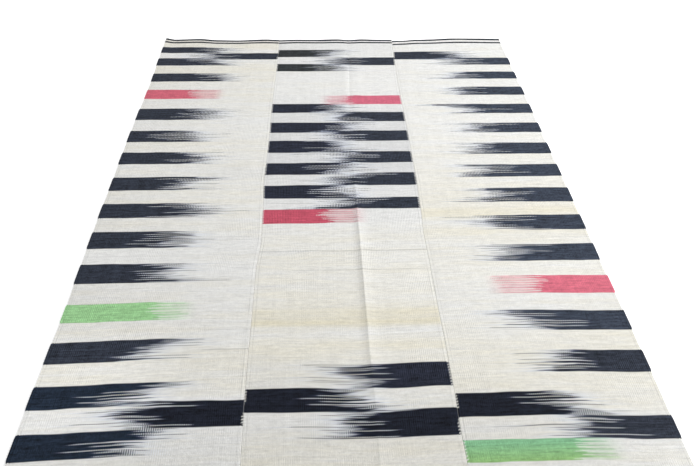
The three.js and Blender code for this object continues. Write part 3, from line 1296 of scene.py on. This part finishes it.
def lay_dye(colour, pick, distance, side, seed):
    """Gives back the colour with the dye on it, and how much dark dye there is."""
    tree = pick.tree
    reach = read(tree, f"{side}_reach")
    bar = read(tree, f"{side}_bar", "Vector")
    yarn = read(tree, f"{side}_yarn", "Color")
    dye = place_group(tree, DYE_GROUP, Pick=pick, Distance=distance, Reach=reach, Bar=bar, Seed=seed)
    strength, comb = dye["Dye"], dye["Comb"]
    tinted = blend(tree, dye["Tint"] * TINT_STRENGTH, colour, PALE_TINT)
    brushed = blend(tree, remap(strength, 0.0, 0.75), tinted, VIOLET_TINT)
    brushed = blend(tree, remap(strength, 0.4, 1.0), brushed, yarn)
    combed = blend(tree, strength, tinted, yarn)
    dyed = blend(tree, comb, brushed, combed)
    beyond = beyond_teeth(pick, distance, side)
    dark = strength * (comb * COMB_CALM + 1.0)
    return blend(tree, beyond, colour, dyed), dark * beyond


# %% Share of a thin line
LINE_COLOUR = light_of(32, 35, 44)
LINE_FADE = 45.0


def thin_line_share(pick, across):
    """One on a thin line, zero beside it, and eased to nothing at both ends of the line."""
    near, far, shade = split(read(pick.tree, "line_picks", "Vector"))
    start, end, _ = split(read(pick.tree, "line_span", "Vector"))
    middle = pick + 0.5
    on_line = (middle > near) * (middle < far)
    enter = remap(across - start, 0.0, LINE_FADE)
    leave = remap(end - across, 0.0, LINE_FADE)
    return on_line * (enter * leave) * shade


# %% Strip material
BEAD_HEIGHT = 0.0006
WOOL_FINISH = {"Specular IOR Level": 0.1, "Sheen Weight": 0.03, "Sheen Roughness": 0.5}
WOOL_UNEVENNESS = 0.14
DYED_UNEVENNESS = 0.7
# Levels of the painted shade between the beads and of the faint painted highlight on their crests.
BEAD_GAP_SHADE_LEVEL = 0.72
BEAD_CREST_HIGHLIGHT_LEVEL = 1.02
CORD_LINE = 10.5
CORD_LINE_LEVEL = 0.86
SEED_STEP = 31
RIGHT_SEED = 500


def make_strip_material(strip):
    material, shader = new_material(f"{strip.name}_wool", WOOL_FINISH)
    tree = material.node_tree
    weave_map = Value(tree, add_node(tree, "ShaderNodeUVMap", {}, uv_map="Weave").outputs["UV"])
    weave = place_group(tree, WEAVE_GROUP, Weave=weave_map)
    pick, warp, bead = weave["Pick"], weave["Warp"], weave["Bead"]
    own_pick = pick + float(strip.seed * SEED_STEP)
    across = read(tree, "across")
    from_right = STRIP_WIDTH - across

    warmth = read(tree, "warmth")
    colour = place_group(tree, WOOL_GROUP, Pick=own_pick, Warp=warp, Warmth=warmth)["Color"]
    colour, left_dye = lay_dye(colour, pick, across, "left", float(strip.seed))
    colour, right_dye = lay_dye(colour, pick, from_right, "right", float(strip.seed + RIGHT_SEED))
    colour = blend(tree, thin_line_share(pick, across), colour, LINE_COLOUR)

    dyed = left_dye.at_least(right_dye)
    unevenness = remap(dyed, 0.0, 1.0, WOOL_UNEVENNESS, DYED_UNEVENNESS)
    yarn = place_group(tree, YARN_GROUP, Pick=own_pick, Warp=warp, Unevenness=unevenness)
    # Painted shade between the beads of the weave, and a faint painted highlight on their crests.
    bead_shade_and_highlight = remap(bead, 0.0, 0.7, BEAD_GAP_SHADE_LEVEL, BEAD_CREST_HIGHLIGHT_LEVEL)
    off_cord = abs(across.at_most(from_right) - CORD_LINE)
    # Painted light and shade: the wear map is partly real wear and partly light and shade painted into
    # the colour. The cord line is a darker thin line 10.5 mm in from each side.
    line_wear_and_light = remap(off_cord, 0.2, 1.8, CORD_LINE_LEVEL, 1.0) * (read(tree, "wear_and_painted_light") + 1.0)
    colour = darken(tree, colour, yarn["Level"] * bead_shade_and_highlight * line_wear_and_light)

    fuzz = cloud_noise(weave_map, scale=1.7, detail=3.0)
    roughness = remap(fuzz, 0.2, 0.8, 0.82, 0.97)
    normal = bump(fuzz * 0.5 + bead, BEAD_HEIGHT)
    feed(tree, shader, {"Base Color": colour, "Normal": normal, "Roughness": roughness})
    return material


# %% Build the three strips
def build_strip(strip):
    grid = strip_grid(strip)
    mesh = sheet_mesh(f"{strip.name}_cloth", grid)
    nominal = grid["nominal"][:, 0]
    shape = grid["x"].shape
    for side in ("left", "right"):
        write_side(mesh, strip, side, nominal, shape)
    second_line = Thin(FAR_LINES[strip.name], 9, -50, 650, 1.0)
    write_thin_lines(mesh, [second_line, *THIN_LINES[strip.name], *END_LINES], nominal)
    warmth = read_table(BATCHES[strip.name], "warmth", nominal)
    write_points(mesh, "warmth", all_across(warmth, shape))
    write_points(mesh, "across", grid["across"])
    # Painted light and shade go into the wear map along with real wear.
    write_points(mesh, "wear_and_painted_light", wear_and_painted_light_of(strip, grid))
    write_weave_map(mesh, strip, grid)
    write_bake_map(mesh, grid)
    mesh.materials.append(make_strip_material(strip))
    piece = put_in_scene(f"{strip.name}_cloth", mesh)
    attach(piece, "root")
    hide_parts(strip.name)
    print(piece.name, "faces:", len(mesh.polygons))
    return piece


CLOTHS = {strip.name: build_strip(strip) for strip in STRIPS}

# %% [markdown]
# The sewing along the seams
#
# The strips are sewn edge to edge with cream thread. Each stitch is a short bent bar of thread that
# crosses the seam, every eight millimetres or so. Hundreds of alike things along a path are what
# Geometry Nodes are for: the tree below resamples a line along the seam at an even pitch, puts one
# small bent tube on each point, turned and sized a little by chance, and makes real mesh of them. A
# straight array could do it too, but it wouldn't follow a seam that wanders by some millimetres.

# %% Thread material
PLY_ACROSS = 2600.0
PLY_ALONG = 1500.0
PLY_HEIGHT = 0.0002
THREAD_WARMTH = 0.25
STITCH_PITCH = 8.0


def make_thread_material():
    """Cream thread of two plies, told apart by fine slanting lines of painted shade across it."""
    material, shader = new_material("cream_sewing_thread", {"Specular IOR Level": 0.1})
    tree = material.node_tree
    place = Value(tree, tree.nodes.new("ShaderNodeTexCoord").outputs["Object"])
    x, y, _ = split(place)
    ply = abs((x * PLY_ACROSS + y * PLY_ALONG).sine())
    stitch = (y / (STITCH_PITCH * MM)).floor()
    yarn = place_group(tree, YARN_GROUP, Pick=stitch, Warp=ply, Unevenness=WOOL_UNEVENNESS)
    wool = place_group(tree, WOOL_GROUP, Pick=stitch, Warp=ply, Warmth=THREAD_WARMTH)
    # Painted shade in the fine lines where the plies meet.
    level = yarn["Level"] * remap(ply, 0.0, 0.5, 0.82, 1.0)
    colour = darken(tree, wool["Color"], level)
    roughness = remap(ply, 0.0, 1.0, 0.95, 0.85)
    feed(tree, shader, {"Base Color": colour, "Normal": bump(ply, PLY_HEIGHT), "Roughness": roughness})
    return material


# %% Node tree of the stitches
STITCH_REACH = 8.0
STITCH_RADIUS = 0.7
STITCH_RISE = 0.4
STITCH_SINK = 0.9
STITCH_SIDES = 6
STITCH_STEPS = 5
STITCH_TURNS = ((-0.06, -0.05, -0.16), (0.06, 0.05, 0.32))
STITCH_SIZES = ((0.75, 0.8, 0.6), (1.2, 1.2, 0.85))


def by_chance(tree, limits, seed):
    """A random vector for each stitch, between two limits."""
    inputs = {"Min": limits[0], "Max": limits[1], "Seed": seed}
    node = add_node(tree, "FunctionNodeRandomValue", inputs, data_type="FLOAT_VECTOR")
    return node.outputs["Value"]


def stitch_tube(tree, reach, radius):
    """One stitch: a short arc over the seam with a ring drawn along it, closed at both ends."""
    half = reach * 0.5
    arc = {
        "Resolution": STITCH_STEPS,
        "Start": join(tree, half * -1.0, 0.0, -STITCH_SINK * MM),
        "Middle": (0.0, 0.0, (STITCH_RISE * 2 + STITCH_SINK) * MM),
        "End": join(tree, half, 0.0, -STITCH_SINK * MM),
    }
    bend = add_node(tree, "GeometryNodeCurveQuadraticBezier", arc).outputs["Curve"]
    circle = {"Resolution": STITCH_SIDES, "Radius": radius}
    ring = add_node(tree, "GeometryNodeCurvePrimitiveCircle", circle).outputs["Curve"]
    parts = {"Curve": bend, "Profile Curve": ring, "Fill Caps": True}
    return add_node(tree, "GeometryNodeCurveToMesh", parts).outputs["Mesh"]


def make_stitch_tree(material):
    sizes = dict.fromkeys(("Pitch", "Reach", "Radius"), "Float")
    inputs = {"Seam": "Geometry", **sizes, "Seed": "Int"}
    tree, given, made = new_group("seam_stitches", inputs, {"Stitches": "Geometry"}, "GeometryNodeTree")
    path = add_node(tree, "GeometryNodeMeshToCurve", {"Mesh": given["Seam"]}).outputs["Curve"]
    spacing = {"Curve": path, "Length": given["Pitch"]}
    points = add_node(tree, "GeometryNodeCurveToPoints", spacing, mode="LENGTH").outputs["Points"]
    stitches = {
        "Points": points,
        "Instance": stitch_tube(tree, given["Reach"], given["Radius"]),
        "Rotation": by_chance(tree, STITCH_TURNS, given["Seed"]),
        "Scale": by_chance(tree, STITCH_SIZES, given["Seed"] + 1.0),
    }
    placed = add_node(tree, "GeometryNodeInstanceOnPoints", stitches).outputs["Instances"]
    real = add_node(tree, "GeometryNodeRealizeInstances", {"Geometry": placed}).outputs["Geometry"]
    finish = {"Geometry": real, "Material": material}
    painted = add_node(tree, "GeometryNodeSetMaterial", finish).outputs["Geometry"]
    feed(tree, made, {"Stitches": painted})
    return tree


STITCH_TREE = make_stitch_tree(make_thread_material())
print("tree:", STITCH_TREE.name, "nodes:", len(STITCH_TREE.nodes))

# %% The line along each seam
SEAM_STEP = 10.0
SEAM_ENDS = {"left_seam": (4.0, 16.0), "right_seam": (4.0, 26.0)}
SEAM_STRIPS = {
    "left_seam": ("strip_left", "strip_centre"),
    "right_seam": ("strip_centre", "strip_right"),
}


def seam_line(name):
    """A line along a seam, just under the top of the cloth. It leaves out where two dark bars meet,
    because the thread sinks into them there."""
    near_margin, far_margin = SEAM_ENDS[name]
    along = np.arange(NEAR_END + near_margin, FAR_END - far_margin, SEAM_STEP)
    x = line_at(name, along)
    points = np.stack((x, along, THICKNESS + floor_waves(x, along) - STITCH_RISE / 2), axis=1) * MM
    left_strip, right_strip = SEAM_STRIPS[name]
    hidden = in_a_bar(left_strip, "right", along) & in_a_bar(right_strip, "left", along)
    edges = [(i, i + 1) for i in range(len(points) - 1) if not (hidden[i] or hidden[i + 1])]
    mesh = bpy.data.meshes.new(f"{name}_line")
    mesh.from_pydata(points.tolist(), edges, [])
    return put_in_scene(f"{name}_line", mesh)


# %% Sew both seams
STITCH_LENGTHS = {"Pitch": STITCH_PITCH, "Reach": STITCH_REACH, "Radius": STITCH_RADIUS}


def sew(name, seed):
    line = seam_line(name)
    modifier = line.modifiers.new("stitches", "NODES")
    modifier.node_group = STITCH_TREE
    keys = {item.name: item.identifier for item in STITCH_TREE.interface.items_tree}
    for label, length in STITCH_LENGTHS.items():
        modifier[keys[label]] = length * MM
    modifier[keys["Seed"]] = seed
    ready = line.evaluated_get(bpy.context.evaluated_depsgraph_get())
    mesh = bpy.data.meshes.new_from_object(ready)
    mesh.shade_smooth()
    line.modifiers.remove(modifier)
    bpy.data.objects.remove(line)
    piece = put_in_scene(f"{name}_stitches", mesh)
    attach(piece, "root")
    print(piece.name, "faces:", len(mesh.polygons))


sew("left_seam", 3)
sew("right_seam", 8)
